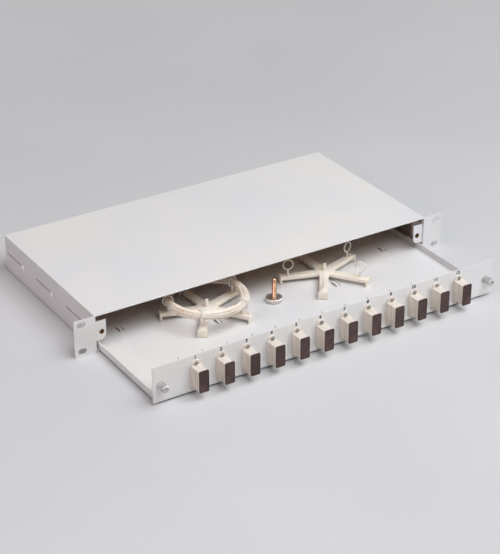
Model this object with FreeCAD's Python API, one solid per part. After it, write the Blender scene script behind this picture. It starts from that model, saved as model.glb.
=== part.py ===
import FreeCAD
import Part
import math
import os
from FreeCAD import Vector

# Sliding fibre patch panel, one rack unit high, with its drawer pulled out.
# Millimetres. X runs along the width, Y to the back, Z up. The origin is the centre of the
# four rack slots, on the front plane of the rack ears.

# Rack interface
rack_width = 482.6
ear_height = 43.6
ear_width = 24.3
slot_inset_x = 8.75
slot_spacing_z = 31.75
slot_length = 10.0
slot_height = 6.8
ear_corner_radius = 1.5

# Housing
sheet = 1.2
fold_radius = 1.0
corner_relief = 2.0
housing_depth = 221.0
housing_height = 43.4
cover_proud = 0.4
cover_flange_height = 9.0
cover_flange_start = 32.0
seam_gap = 0.1

# Cable entries and cover screws in the rear wall
entry_inset_x = 67.0
entry_z = -3.0
entry_radius = 10.2
entry_sides = 14
grommet_bore_radius = 7.0
grommet_lip = 2.3
grommet_lip_thickness = 2.0
cover_screw_inset_x = 27.0
cover_screw_drop = 7.0
cover_screw_radius = 1.45
cover_screw_head_radius = 2.8
cover_screw_head_height = 1.8
cover_screw_length = 6.0

# Drawer
running_gap = 0.2
closed_gap = 0.3
pull_out = 122.0
tray_inset = 4.0
tray_depth = 205.0
tray_flange_height = 8.4
tray_lip_height = 14.6

# Guide rails above the tray flanges, hooked into slits of the side walls
rail_foot_width = 6.0
rail_foot_gap = 0.5
rail_side_gap = 1.0
rail_start = 23.0
rail_end_gap = 4.0
guide_z = 1.5
slit_count = 3
slit_first = 24.0
slit_pitch = 73.5
slit_length = 44.0
lug_length = 5.0
lug_gap = 0.2
lug_proud = 0.7

# Thumbscrews and the latch brackets that take them
thumbscrew_inset = 9.0
thumbscrew_z = 0.0
thumbscrew_radius = 2.0
thumbscrew_reach = 12.0
thumbscrew_sides = 8
knob_radius = 4.2
knob_length = 10.5
knob_edge = 0.8
knob_sides = 20
clip_radius = 3.6
clip_thickness = 0.8
bracket_width = 13.0
bracket_depth = 18.0
bracket_setback = 2.0
bracket_above = 16.0
bracket_clearance = 1.4
bracket_corner_radius = 7.0
insert_radius = 3.1
insert_collar_radius = 4.2
insert_collar_thickness = 0.8
insert_length = 4.2

# Duplex adapters in the front panel
adapter_count = 12
adapter_pitch = 30.5
adapter_drop = 2.0
adapter_width = 10.8
adapter_height = 23.4
adapter_reach = 18.0
adapter_tail = 13.0
adapter_flange_width = 12.4
adapter_flange_height = 35.6
adapter_flange_thickness = 2.0
adapter_flange_sides = 8
collar_step = 0.5
collar_length = 3.5
adapter_rim = 0.5
port_wall = 1.2
port_web = 1.6
port_depth = 11.0
cap_plate = 2.2
cap_plug = 4.0
cap_gap = 0.1
cap_groove_width = 0.8
cap_groove_depth = 0.5
sleeve_bore_radius = 1.25
sleeve_sides = 6
adapter_screw_spacing = 29.2
adapter_screw_radius = 1.1
adapter_screw_head_radius = 2.1
adapter_screw_head_height = 1.3
adapter_nut_across = 4.4
adapter_nut_sides = 6
adapter_nut_thickness = 1.6

# Fibre spools, coil and clamp stud on the tray floor
spool_offset_x = 78.0
spool_back = 126.3
spool_arms = 5
spool_height = 9.0
hub_radius = 10.0
column_radius = 6.0
peg_radius = 3.0
pin_radius = 2.0
pin_height = 9.0
arm_reach = 53.0
arm_root_width = 11.0
arm_tip_width = 9.0
arm_thickness = 2.6
rib_width = 1.8
rib_depth = 2.4
end_plate_width = 11.0
end_plate_thickness = 2.0
end_plate_rise = 0.4
end_plate_corner = 1.0
ring_place = 43.0
ring_radius = 6.6
ring_wall = 1.5
ring_width = 2.0
ring_stem_width = 2.4
ring_stem_height = 6.4
ring_sides = 12
hub_sides = 12
peg_sides = 8
coil_section_radius = 4.6
coil_seat = 0.3
coil_section_sides = 6
coil_ring_sides = 20
stud_back = 111.0
stud_radius = 3.0
stud_height = 28.0
stud_head_radius = 4.4
stud_tip = 0.6
stud_sides = 10
nut_radius = 9.8
nut_thickness = 4.6
nut_teeth = 18
nut_tooth_depth = 0.5
nut_edge = 0.6
nut_gap = 0.3

# Cable-tie bridges and slots in the tray floor
bridge_length = 12.0
bridge_width = 3.0
bridge_slot = 2.0
bridge_rise = 2.6
bridge_ramp = 2.5
side_bridge_inset_x = 42.0
side_bridge_back = 148.0
spool_bridge_shift_x = 1.5
spool_bridge_shift_y = -20.0
floor_slot_back = 60.0
floor_slot_length = 6.0
floor_slot_width = 1.0

# Sides of small screws and of the holes that take them
screw_sides = 6
screw_head_sides = 8

# Clearances shared by pieces that seat in each other
seat_gap = 0.05
hole_gap = 0.3

# Places worked out from the sizes above
half_width = rack_width / 2 - ear_width
slot_x = rack_width / 2 - slot_inset_x
entry_x = half_width - entry_inset_x
cover_screw_x = half_width - cover_screw_inset_x
side_bridge_x = half_width - side_bridge_inset_x
inner_half = half_width - sheet
housing_top = ear_height / 2 + cover_proud
housing_bottom = housing_top - housing_height
wall_top = housing_top - sheet
rear_inside = housing_depth - sheet

panel_back = -(closed_gap + pull_out)
panel_front = panel_back - sheet
tray_bottom = housing_bottom + sheet + running_gap
floor_top = tray_bottom + sheet
tray_half = half_width - tray_inset
tray_end = panel_back + tray_depth
tray_flange_top = tray_bottom + tray_flange_height
panel_middle_z = (tray_bottom + housing_top) / 2

rail_outer = inner_half
rail_inner = inner_half - sheet
rail_foot_inner = rail_inner - rail_foot_width
rail_foot_bottom = tray_flange_top + rail_foot_gap
rail_end = rear_inside - sheet - rail_end_gap
lip_half = rail_foot_inner - rail_side_gap

thumbscrew_x = half_width - thumbscrew_inset
bracket_bottom = tray_flange_top + bracket_clearance
bracket_top = thumbscrew_z + bracket_above
bracket_inner = inner_half - bracket_width

adapter_z = panel_middle_z - adapter_drop
adapter_first_x = -adapter_pitch * (adapter_count - 1) / 2
adapter_front = panel_front - adapter_reach
adapter_rear = panel_back + adapter_tail
port_width = adapter_width - 2 * port_wall
port_height = (adapter_height - 2 * port_wall - port_web) / 2
port_offset_z = (port_height + port_web) / 2
mouth_width = adapter_width - 2 * adapter_rim
mouth_height = adapter_height - 2 * adapter_rim
screw_offset_z = adapter_screw_spacing / 2

spool_y = panel_back + spool_back
arm_top = floor_top + spool_height
ring_z = arm_top + ring_stem_height + ring_radius
ring_hole_radius = ring_radius - ring_wall
coil_z = ring_z - (ring_hole_radius - coil_section_radius - coil_seat)
stud_y = panel_back + stud_back

X_AXIS = Vector(1, 0, 0)
Y_AXIS = Vector(0, 1, 0)
Z_AXIS = Vector(0, 0, 1)
SIDES = {"left": -1, "right": 1}


def block(x_pair, y_pair, z_pair):
    """Box between two values on each axis, in either order."""
    low = Vector(min(x_pair), min(y_pair), min(z_pair))
    high = Vector(max(x_pair), max(y_pair), max(z_pair))
    size = high - low
    return Part.makeBox(size.x, size.y, size.z, low)


def rod_y(x, z, radius, y_pair):
    """Cylinder along Y."""
    return Part.makeCylinder(radius, y_pair[1] - y_pair[0], Vector(x, y_pair[0], z), Y_AXIS)


def prism(points, direction):
    """Solid swept from a closed flat outline."""
    return Part.Face(Part.makePolygon(points + points[:1])).extrude(direction)


def corners(radius, sides):
    """Points of a regular outline on a circle, as pairs of offsets."""
    turns = [2 * math.pi * (index + 0.5) / sides for index in range(sides)]
    return [(radius * math.cos(turn), radius * math.sin(turn)) for turn in turns]


def bar_y(x, z, radius, sides, y_pair):
    """Regular prism along Y, its corners at the given radius."""
    outline = [Vector(x + across, y_pair[0], z + up) for across, up in corners(radius, sides)]
    return prism(outline, Y_AXIS * (y_pair[1] - y_pair[0]))


def bar_z(x, y, radius, sides, z_pair):
    """Regular prism along Z, its corners at the given radius."""
    outline = [Vector(x + across, y + along, z_pair[0]) for across, along in corners(radius, sides)]
    return prism(outline, Z_AXIS * (z_pair[1] - z_pair[0]))


def slot_y(x, z, length, height, y_pair):
    """Slot with round ends, through Y and long in X."""
    radius = height / 2
    straight = length / 2 - radius
    bar = block((x - straight, x + straight), y_pair, (z - radius, z + radius))
    ends = [rod_y(x + sign * straight, z, radius, y_pair) for sign in (-1, 1)]
    return bar.multiFuse(ends).removeSplitter()


def edges_at(shape, x=None, y=None, z=None):
    """Edges whose two ends both lie at the given coordinates."""
    wanted = [(name, value) for name, value in (("x", x), ("y", y), ("z", z)) if value is not None]

    def fits(edge):
        return all(abs(getattr(vertex.Point, name) - value) < 1e-6
                   for vertex in edge.Vertexes for name, value in wanted)

    return [edge for edge in shape.Edges if fits(edge)]


def joined(shapes):
    """One solid from pieces that touch or overlap."""
    return shapes[0].multiFuse(shapes[1:]).removeSplitter()


# Housing


def slit_fronts():
    """Y of the front end of each guide slit in a side wall."""
    return [slit_first + index * slit_pitch for index in range(slit_count)]


def cover_screw_places():
    """Centres of the cover screws on the rear wall."""
    z = wall_top - cover_screw_drop
    return [(x, z) for x in (-cover_screw_x, 0, cover_screw_x)]


def rack_ear(sign):
    """Rack ear beside the housing's front, with rounded outer corners."""
    outer = sign * rack_width / 2
    top = ear_height / 2
    ear = block((sign * half_width, outer), (0, sheet), (-top, top))
    outer_corners = edges_at(ear, x=outer, z=top) + edges_at(ear, x=outer, z=-top)
    return ear.makeFillet(ear_corner_radius, outer_corners)


def housing_cuts():
    """Openings of the housing: corner reliefs, rack slots, guide slits, cable entries and cover screws."""
    through_ear = (-sheet, 2 * sheet)
    through_rear = (rear_inside - sheet, housing_depth + sheet)
    slit_z = (guide_z - sheet / 2 - lug_gap, guide_z + sheet / 2 + lug_gap)
    relief_y = (housing_depth - corner_relief, housing_depth + sheet)
    relief_z = (housing_bottom - sheet, housing_bottom + corner_relief)
    cuts = []
    for sign in SIDES.values():
        relief_x = (sign * (half_width - corner_relief), sign * (half_width + sheet))
        cuts.append(block(relief_x, relief_y, relief_z))
        for level in SIDES.values():
            z = level * slot_spacing_z / 2
            cuts.append(slot_y(sign * slot_x, z, slot_length, slot_height, through_ear))
        through_side = (sign * (inner_half - sheet), sign * (half_width + sheet))
        for front in slit_fronts():
            cuts.append(block(through_side, (front, front + slit_length), slit_z))
        cuts.append(bar_y(sign * entry_x, entry_z, entry_radius, entry_sides, through_rear))
    for x, z in cover_screw_places():
        cuts.append(bar_y(x, z, cover_screw_radius + seat_gap, screw_sides, through_rear))
    return cuts


def housing_base():
    """Floor, side walls, rear wall and rack ears, folded from one sheet."""
    outside = block((-half_width, half_width), (0, housing_depth), (housing_bottom, wall_top))
    inside_z = (housing_bottom + sheet, wall_top + sheet)
    tub = outside.cut(block((-inner_half, inner_half), (-sheet, rear_inside), inside_z))
    folds = []
    for sign in SIDES.values():
        folds += edges_at(tub, x=sign * half_width, z=housing_bottom)
        folds += edges_at(tub, x=sign * half_width, y=housing_depth)
    tub = tub.makeFillet(fold_radius, folds)
    return joined([tub] + [rack_ear(sign) for sign in SIDES.values()]).cut(housing_cuts())


def housing_cover():
    """Top sheet with flanges that drop inside the side walls and the rear wall."""
    flange_x = inner_half - seam_gap
    flange_y = rear_inside - seam_gap
    flange_z = (wall_top - cover_flange_height, wall_top)
    plate = block((-half_width, half_width), (0, housing_depth), (wall_top, housing_top))
    edges = edges_at(plate, y=housing_depth, z=housing_top)
    for sign in SIDES.values():
        edges += edges_at(plate, x=sign * half_width, z=housing_top)
    pieces = [plate.makeFillet(fold_radius / 2, edges)]
    for sign in SIDES.values():
        across = (sign * (flange_x - sheet), sign * flange_x)
        pieces.append(block(across, (cover_flange_start, flange_y - 2 * sheet), flange_z))
    rear_half = flange_x - 2 * sheet
    pieces.append(block((-rear_half, rear_half), (flange_y - sheet, flange_y), flange_z))
    through = (flange_y - 2 * sheet, flange_y + sheet)
    hole_radius = cover_screw_radius + seat_gap
    holes = [bar_y(x, z, hole_radius, screw_sides, through) for x, z in cover_screw_places()]
    return joined(pieces).cut(holes)


def cover_screws():
    """Pan-head screws through the rear wall into the cover's rear flange."""
    head_y = (housing_depth, housing_depth + cover_screw_head_height)
    shank_y = (housing_depth - cover_screw_length, housing_depth)
    screws = []
    for x, z in cover_screw_places():
        head = bar_y(x, z, cover_screw_head_radius, screw_head_sides, head_y)
        head = head.makeChamfer(cover_screw_head_height / 2, edges_at(head, y=head_y[1]))
        screws.append(joined([head, bar_y(x, z, cover_screw_radius, screw_sides, shank_y)]))
    return Part.makeCompound(screws)


def cable_grommet(sign):
    """Rubber ring in a cable entry, with a lip on each side of the rear wall."""
    x = sign * entry_x
    lip_radius = entry_radius + grommet_lip
    inside = rear_inside - seat_gap
    outside = housing_depth + seat_gap
    ends = (inside - grommet_lip_thickness, outside + grommet_lip_thickness)
    pieces = [bar_y(x, entry_z, lip_radius, entry_sides, (ends[0], inside)),
              bar_y(x, entry_z, entry_radius - seat_gap, entry_sides, ends),
              bar_y(x, entry_z, lip_radius, entry_sides, (outside, ends[1]))]
    through = (ends[0] - sheet, ends[1] + sheet)
    return joined(pieces).cut(rod_y(x, entry_z, grommet_bore_radius, through))


def guide_rail(sign):
    """Angle rail on a side wall, over the tray flange, with lugs in the wall's slits."""
    length = (rail_start, rail_end)
    foot_z = (rail_foot_bottom, rail_foot_bottom + sheet)
    lug_x = (sign * rail_outer, sign * (half_width + lug_proud))
    lug_z = (guide_z - sheet / 2, guide_z + sheet / 2)
    pieces = [block((sign * rail_inner, sign * rail_outer), length, (foot_z[0], lug_z[1])),
              block((sign * rail_foot_inner, sign * rail_outer), length, foot_z)]
    for front in slit_fronts():
        pieces.append(block(lug_x, (front + lug_gap, front + lug_gap + lug_length), lug_z))
    return joined(pieces)


def latch_bracket(sign):
    """Angle at a front corner of the housing, with the seat of a threaded insert."""
    front = (bracket_setback, bracket_setback + sheet)
    height = (bracket_bottom, bracket_top)
    plate = block((sign * bracket_inner, sign * inner_half), front, height)
    plate = plate.makeFillet(bracket_corner_radius, edges_at(plate, x=sign * bracket_inner, z=bracket_bottom))
    leg_y = (front[0], front[0] + bracket_depth)
    leg = block((sign * (inner_half - sheet), sign * inner_half), leg_y, height)
    angle = joined([plate, leg])
    angle = angle.makeFillet(fold_radius, edges_at(angle, x=sign * inner_half, y=front[0]))
    seat_radius = insert_radius + seat_gap
    return angle.cut(bar_y(sign * thumbscrew_x, thumbscrew_z, seat_radius, thumbscrew_sides, front))


def latch_inserts():
    """Threaded brass inserts in the two latch brackets."""
    barrel_y = (bracket_setback, bracket_setback + insert_length)
    collar_y = (bracket_setback + sheet, bracket_setback + sheet + insert_collar_thickness)
    bore_y = (barrel_y[0] - sheet, barrel_y[1] + sheet)
    inserts = []
    for sign in SIDES.values():
        x = sign * thumbscrew_x
        barrel = bar_y(x, thumbscrew_z, insert_radius, thumbscrew_sides, barrel_y)
        collar = bar_y(x, thumbscrew_z, insert_collar_radius, thumbscrew_sides, collar_y)
        bore = bar_y(x, thumbscrew_z, thumbscrew_radius + hole_gap, thumbscrew_sides, bore_y)
        inserts.append(joined([barrel, collar]).cut(bore))
    return Part.makeCompound(inserts)


# Drawer


def adapter_places():
    """X of each adapter, from the left."""
    return [adapter_first_x + index * adapter_pitch for index in range(adapter_count)]


def screw_centres():
    """X and Z of every adapter screw."""
    return [(x, adapter_z + level * screw_offset_z) for x in adapter_places() for level in SIDES.values()]


def bridge_places():
    """Centres of the cable-tie bridges on the tray floor."""
    places = []
    for sign in SIDES.values():
        places.append((sign * side_bridge_x, panel_back + side_bridge_back))
        places.append((sign * spool_offset_x + spool_bridge_shift_x, spool_y + spool_bridge_shift_y))
    return places


def bridge_window(x, y):
    """Opening in the floor under a bridge, a slot wider than its strip on each side."""
    half = bridge_width / 2 + bridge_slot
    end = bridge_length / 2
    return block((x - half, x + half), (y - end, y + end), (tray_bottom - sheet, floor_top + sheet))


def bridge_strip(x, y):
    """Strip of the floor pressed up between two slots."""
    end = bridge_length / 2
    flat = end - bridge_ramp
    left = x - bridge_width / 2
    outline = [(-end, tray_bottom), (-flat, tray_bottom + bridge_rise), (flat, tray_bottom + bridge_rise),
               (end, tray_bottom), (end, floor_top), (flat, floor_top + bridge_rise),
               (-flat, floor_top + bridge_rise), (-end, floor_top)]
    return prism([Vector(left, y + across, z) for across, z in outline], X_AXIS * bridge_width)


def panel_cuts():
    """Openings of the front panel: adapters, their screws and the thumbscrews."""
    through = (panel_front - sheet, panel_back + sheet)
    half_x = adapter_width / 2 + hole_gap
    half_z = adapter_height / 2 + hole_gap
    cuts = []
    for x in adapter_places():
        cuts.append(block((x - half_x, x + half_x), through, (adapter_z - half_z, adapter_z + half_z)))
    for x, z in screw_centres():
        cuts.append(bar_y(x, z, adapter_screw_radius + seat_gap, screw_sides, through))
    for sign in SIDES.values():
        x = sign * thumbscrew_x
        cuts.append(bar_y(x, thumbscrew_z, thumbscrew_radius + hole_gap, thumbscrew_sides, through))
    return cuts


def floor_cuts():
    """Openings of the tray floor: spool pegs, clamp stud, tie bridges and fibre slots."""
    through = (tray_bottom - sheet, floor_top + sheet)
    cuts = [bar_z(0, stud_y, stud_head_radius + seat_gap, stud_sides, through)]
    for sign in SIDES.values():
        cuts.append(bar_z(sign * spool_offset_x, spool_y, peg_radius + seat_gap, peg_sides, through))
    cuts += [bridge_window(x, y) for x, y in bridge_places()]
    slot_middle = panel_back + floor_slot_back
    slot_span = (slot_middle - floor_slot_length / 2, slot_middle + floor_slot_length / 2)
    for x in adapter_places()[1:]:
        middle = x - adapter_pitch / 2
        cuts.append(block((middle - floor_slot_width / 2, middle + floor_slot_width / 2), slot_span, through))
    return cuts


def drawer_tray():
    """Floor, side flanges, rear lip and front panel, folded from one sheet."""
    lip_top = tray_bottom + tray_lip_height
    flange_y = (panel_back + corner_relief, tray_end - corner_relief)
    pieces = [block((-tray_half, tray_half), (panel_back, tray_end), (tray_bottom, floor_top)),
              block((-half_width, half_width), (panel_front, panel_back), (tray_bottom, housing_top)),
              block((-lip_half, lip_half), (tray_end - sheet, tray_end), (tray_bottom, lip_top))]
    for sign in SIDES.values():
        across = (sign * (tray_half - sheet), sign * tray_half)
        pieces.append(block(across, flange_y, (tray_bottom, tray_flange_top)))
    tray = joined(pieces)
    folds = edges_at(tray, y=panel_front, z=tray_bottom) + edges_at(tray, y=tray_end, z=tray_bottom)
    for sign in SIDES.values():
        folds += edges_at(tray, x=sign * tray_half, z=tray_bottom)
    tray = tray.makeFillet(fold_radius, folds)
    tray = tray.cut(panel_cuts() + floor_cuts())
    return joined([tray] + [bridge_strip(x, y) for x, y in bridge_places()])


def thumbscrew(sign):
    """Captive screw with a round knob in front of the panel."""
    x = sign * thumbscrew_x
    back = panel_front - closed_gap
    front = back - knob_length
    knob = bar_y(x, thumbscrew_z, knob_radius, knob_sides, (front, back))
    knob = knob.makeChamfer(knob_edge, edges_at(knob, y=front))
    shaft_y = (back, panel_back + thumbscrew_reach)
    return joined([knob, bar_y(x, thumbscrew_z, thumbscrew_radius, thumbscrew_sides, shaft_y)])


def retainer_clip(sign):
    """Ring on a thumbscrew's shaft that keeps it in the panel."""
    x = sign * thumbscrew_x
    front = panel_back + closed_gap
    span = (front, front + clip_thickness)
    ring = bar_y(x, thumbscrew_z, clip_radius, thumbscrew_sides, span)
    return ring.cut(bar_y(x, thumbscrew_z, thumbscrew_radius + seat_gap, thumbscrew_sides, span))


# Adapters


def port_boxes(x, y_pair, shrink):
    """The two port spaces of an adapter, one above the other, smaller all round by the given amount."""
    half_x = port_width / 2 - shrink
    half_z = port_height / 2 - shrink
    centres = [adapter_z + level * port_offset_z for level in SIDES.values()]
    return [block((x - half_x, x + half_x), y_pair, (z - half_z, z + half_z)) for z in centres]


def mouth_box(x, y_pair, shrink):
    """The shared mouth of both ports at one end of an adapter."""
    half_x = mouth_width / 2 - shrink
    half_z = mouth_height / 2 - shrink
    return block((x - half_x, x + half_x), y_pair, (adapter_z - half_z, adapter_z + half_z))


def adapter_flange(x, y_pair):
    """Upright flange with round ends, which holds the screws."""
    radius = adapter_flange_width / 2
    straight = adapter_flange_height / 2 - radius
    outline = []
    for level in SIDES.values():
        for index in range(adapter_flange_sides // 2 + 1):
            turn = 2 * math.pi * index / adapter_flange_sides
            across = level * radius * math.cos(turn)
            up = level * (straight + radius * math.sin(turn))
            outline.append(Vector(x + across, y_pair[0], adapter_z + up))
    return prism(outline, Y_AXIS * (y_pair[1] - y_pair[0]))


def adapter(x):
    """Duplex adapter: body through the panel, collar, screwed flange, ports joined by sleeve bores."""
    half_x = adapter_width / 2
    half_z = adapter_height / 2
    length = (adapter_front, adapter_rear)
    body = block((x - half_x, x + half_x), length, (adapter_z - half_z, adapter_z + half_z))
    flange_y = (panel_front - adapter_flange_thickness, panel_front)
    collar_x = (x - half_x - collar_step, x + half_x + collar_step)
    collar_z = (adapter_z - half_z - collar_step, adapter_z + half_z + collar_step)
    collar = block(collar_x, (flange_y[0] - collar_length, flange_y[0]), collar_z)
    cuts = []
    for end, inward in ((adapter_front, 1), (adapter_rear, -1)):
        cuts.append(mouth_box(x, (end, end + inward * cap_plate), 0))
        cuts += port_boxes(x, (end, end + inward * port_depth), 0)
    for level in SIDES.values():
        z = adapter_z + level * port_offset_z
        cuts.append(bar_y(x, z, sleeve_bore_radius, sleeve_sides, length))
        z = adapter_z + level * screw_offset_z
        cuts.append(bar_y(x, z, adapter_screw_radius + seat_gap, screw_sides, flange_y))
    return joined([body, collar, adapter_flange(x, flange_y)]).cut(cuts)


def dust_cap(x, end, inward):
    """Cap in the mouth of an adapter, with a plug for each port and a groove between its halves."""
    plate = mouth_box(x, (end, end + inward * cap_plate), cap_gap)
    plugs = port_boxes(x, (end + inward * cap_plate, end + inward * (cap_plate + cap_plug)), cap_gap)
    groove_z = (adapter_z - cap_groove_width / 2, adapter_z + cap_groove_width / 2)
    groove = block((x - mouth_width, x + mouth_width), (end, end + inward * cap_groove_depth), groove_z)
    return joined([plate] + plugs).cut(groove)


def adapter_screws():
    """Pan-head screws that hold the adapter flanges to the panel."""
    seat = panel_front - adapter_flange_thickness
    head_y = (seat - adapter_screw_head_height, seat)
    shank_y = (seat, panel_back + adapter_nut_thickness)
    screws = []
    for x, z in screw_centres():
        head = bar_y(x, z, adapter_screw_head_radius, screw_head_sides, head_y)
        screws.append(joined([head, bar_y(x, z, adapter_screw_radius, screw_sides, shank_y)]))
    return Part.makeCompound(screws)


def adapter_nuts():
    """Hexagon nuts behind the panel."""
    corner = adapter_nut_across / 2 / math.cos(math.pi / adapter_nut_sides)
    span = (panel_back, panel_back + adapter_nut_thickness)
    nuts = []
    for x, z in screw_centres():
        bore = bar_y(x, z, adapter_screw_radius + seat_gap, screw_sides, span)
        nuts.append(bar_y(x, z, corner, adapter_nut_sides, span).cut(bore))
    return Part.makeCompound(nuts)


# Fibre spools, coil and clamp stud


def spool_arm():
    """One arm along +X from the spool's axis: tapered bar, rib, end plate and fibre ring on a stem."""
    root = arm_root_width / 2
    tip = arm_tip_width / 2
    under = arm_top - arm_thickness
    plate_start = arm_reach - end_plate_thickness
    plate_half = end_plate_width / 2
    plate_top = arm_top + end_plate_rise
    outline = [(0, -root), (plate_start, -tip), (plate_start, tip), (0, root)]
    bar = prism([Vector(along, across, under) for along, across in outline], Z_AXIS * arm_thickness)
    rib = block((0, plate_start), (-rib_width / 2, rib_width / 2), (under - rib_depth, under))
    plate = block((plate_start, arm_reach), (-plate_half, plate_half), (floor_top, plate_top))
    upper = edges_at(plate, y=-plate_half, z=plate_top) + edges_at(plate, y=plate_half, z=plate_top)
    plate = plate.makeChamfer(end_plate_corner, upper)
    ring_span = (-ring_width / 2, ring_width / 2)
    ring = bar_y(ring_place, ring_z, ring_radius, ring_sides, ring_span)
    ring = ring.cut(bar_y(ring_place, ring_z, ring_hole_radius, ring_sides, ring_span))
    stem_half = ring_stem_width / 2
    stem_top = ring_z - ring_hole_radius - ring_wall / 2
    stem = block((ring_place - stem_half, ring_place + stem_half), ring_span, (arm_top, stem_top))
    return joined([bar, rib, plate, stem, ring])


def fibre_spool(sign):
    """Moulded spool with arms round a hub, pegged into the tray floor."""
    arm = spool_arm()
    pieces = [bar_z(0, 0, hub_radius, hub_sides, (arm_top - arm_thickness, arm_top)),
              bar_z(0, 0, column_radius, hub_sides, (floor_top, arm_top)),
              bar_z(0, 0, peg_radius, peg_sides, (tray_bottom, floor_top)),
              bar_z(0, 0, pin_radius, peg_sides, (arm_top, arm_top + pin_height))]
    for index in range(spool_arms):
        turned = arm.copy()
        turned.rotate(Vector(0, 0, 0), Z_AXIS, 90 + index * 360 / spool_arms)
        pieces.append(turned)
    spool = joined(pieces)
    spool.translate(Vector(sign * spool_offset_x, spool_y, 0))
    return spool


def fibre_coil():
    """Outer shape of the fibre wound through the rings of the left spool, a ring of flat faces."""
    around = corners(coil_section_radius, coil_section_sides)
    sections = []
    for index in range(coil_ring_sides):
        turn = 2 * math.pi * index / coil_ring_sides
        out = Vector(math.cos(turn), math.sin(turn), 0)
        sections.append([out * (ring_place + across) + Z_AXIS * up for across, up in around])
    faces = []
    for here, following in zip(sections, sections[1:] + sections[:1]):
        for side in range(coil_section_sides):
            edge = (side - 1, side)
            outline = [here[corner] for corner in edge] + [following[corner] for corner in edge[::-1]]
            faces.append(Part.Face(Part.makePolygon(outline + outline[:1])))
    coil = Part.Solid(Part.Shell(faces))
    coil.translate(Vector(-spool_offset_x, spool_y, coil_z))
    return coil


def clamp_stud():
    """Stud pressed into the tray floor, flush below."""
    tip = floor_top + stud_height
    head = bar_z(0, stud_y, stud_head_radius, stud_sides, (tray_bottom, floor_top))
    shaft = bar_z(0, stud_y, stud_radius, stud_sides, (floor_top, tip))
    return joined([head, shaft.makeChamfer(stud_tip, edges_at(shaft, z=tip))])


def knurled_nut():
    """Round nut on the stud with a toothed rim and eased edges."""
    low = floor_top + nut_gap
    high = low + nut_thickness
    levels = [(low, nut_edge), (low + nut_edge, 0), (high - nut_edge, 0), (high, nut_edge)]
    rims = []
    for z, inset in levels:
        outline = []
        for index in range(2 * nut_teeth):
            radius = nut_radius - inset - (index % 2) * nut_tooth_depth
            turn = math.pi * index / nut_teeth
            outline.append(Vector(radius * math.cos(turn), stud_y + radius * math.sin(turn), z))
        rims.append(Part.makePolygon(outline + outline[:1]))
    bore = bar_z(0, stud_y, stud_radius + hole_gap, stud_sides, (low - sheet, high + sheet))
    return Part.makeLoft(rims, True, True).cut(bore)


# All pieces by name


def pieces():
    """Every piece of the panel in its place."""
    made = {
        "housing_base": housing_base(),
        "housing_cover": housing_cover(),
        "cover_screws": cover_screws(),
        "latch_inserts": latch_inserts(),
        "drawer_tray": drawer_tray(),
        "adapter_screws": adapter_screws(),
        "adapter_nuts": adapter_nuts(),
        "fibre_coil": fibre_coil(),
        "clamp_stud": clamp_stud(),
        "knurled_nut": knurled_nut(),
    }
    paired = {
        "cable_grommet": cable_grommet,
        "guide_rail": guide_rail,
        "latch_bracket": latch_bracket,
        "thumbscrew": thumbscrew,
        "retainer_clip": retainer_clip,
        "fibre_spool": fibre_spool,
    }
    for name, make in paired.items():
        for side, sign in SIDES.items():
            made[f"{name}_{side}"] = make(sign)
    for number, x in enumerate(adapter_places(), start=1):
        made[f"adapter_{number:02d}"] = adapter(x)
        made[f"front_cap_{number:02d}"] = dust_cap(x, adapter_front, 1)
        made[f"rear_cap_{number:02d}"] = dust_cap(x, adapter_rear, -1)
    return made


os.makedirs("parts", exist_ok=True)
for node, shape in pieces().items():
    shape.exportStep(f"parts/{node}.step")
    print(node, len(shape.Solids), round(shape.Volume, 1), shape.isValid())
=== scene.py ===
# %% [markdown]
# # A sliding fibre patch panel
# This panel slides out of a rack like a flat drawer, with twelve duplex adapters in its front panel, and
# two spools and a clamp stud on its floor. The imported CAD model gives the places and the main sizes. It
# could be rendered as it is, but sheet metal, moulded plastic and wound fibre need rounder edges and finer
# surfaces. So this file loads the model as a fixed frame and models most pieces again.

# %% Load the frame
import math
import random

import bpy
from mathutils import Matrix, Vector


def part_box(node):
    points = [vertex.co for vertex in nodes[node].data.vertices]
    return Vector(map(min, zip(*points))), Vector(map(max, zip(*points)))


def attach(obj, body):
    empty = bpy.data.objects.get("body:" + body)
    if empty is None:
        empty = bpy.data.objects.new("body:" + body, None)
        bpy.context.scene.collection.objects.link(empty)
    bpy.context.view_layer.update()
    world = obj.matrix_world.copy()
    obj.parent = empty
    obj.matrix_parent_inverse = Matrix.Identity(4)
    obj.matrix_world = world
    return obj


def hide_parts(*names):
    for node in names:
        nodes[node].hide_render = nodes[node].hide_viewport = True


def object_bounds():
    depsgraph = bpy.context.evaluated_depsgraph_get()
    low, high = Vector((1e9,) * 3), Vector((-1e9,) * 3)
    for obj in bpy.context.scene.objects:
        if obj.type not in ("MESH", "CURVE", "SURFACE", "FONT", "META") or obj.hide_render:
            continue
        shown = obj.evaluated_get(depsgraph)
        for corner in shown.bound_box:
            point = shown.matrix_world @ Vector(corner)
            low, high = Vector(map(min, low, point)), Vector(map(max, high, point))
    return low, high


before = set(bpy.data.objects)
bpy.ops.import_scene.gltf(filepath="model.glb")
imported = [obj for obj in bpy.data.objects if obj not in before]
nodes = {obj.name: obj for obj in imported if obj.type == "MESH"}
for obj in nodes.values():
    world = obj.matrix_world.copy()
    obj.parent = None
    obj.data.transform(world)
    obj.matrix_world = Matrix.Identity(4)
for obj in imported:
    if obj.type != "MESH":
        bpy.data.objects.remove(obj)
cad_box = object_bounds()
mm = 0.001

# %% [markdown]
# ## Camera
# The photograph looks down on the panel from the front left, from about two metres away. The camera could
# be set by eye, but matching the rack slots and the corners of the sheet metal gives its place, its turn
# and its long lens, which keeps parallel edges nearly parallel.

# %% Camera
image_height = 554
focal_pixels = 1672.88
azimuth = -32.28
elevation = 28.42
camera_place = (-0.8897, -1.3696, 0.8898)

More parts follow.
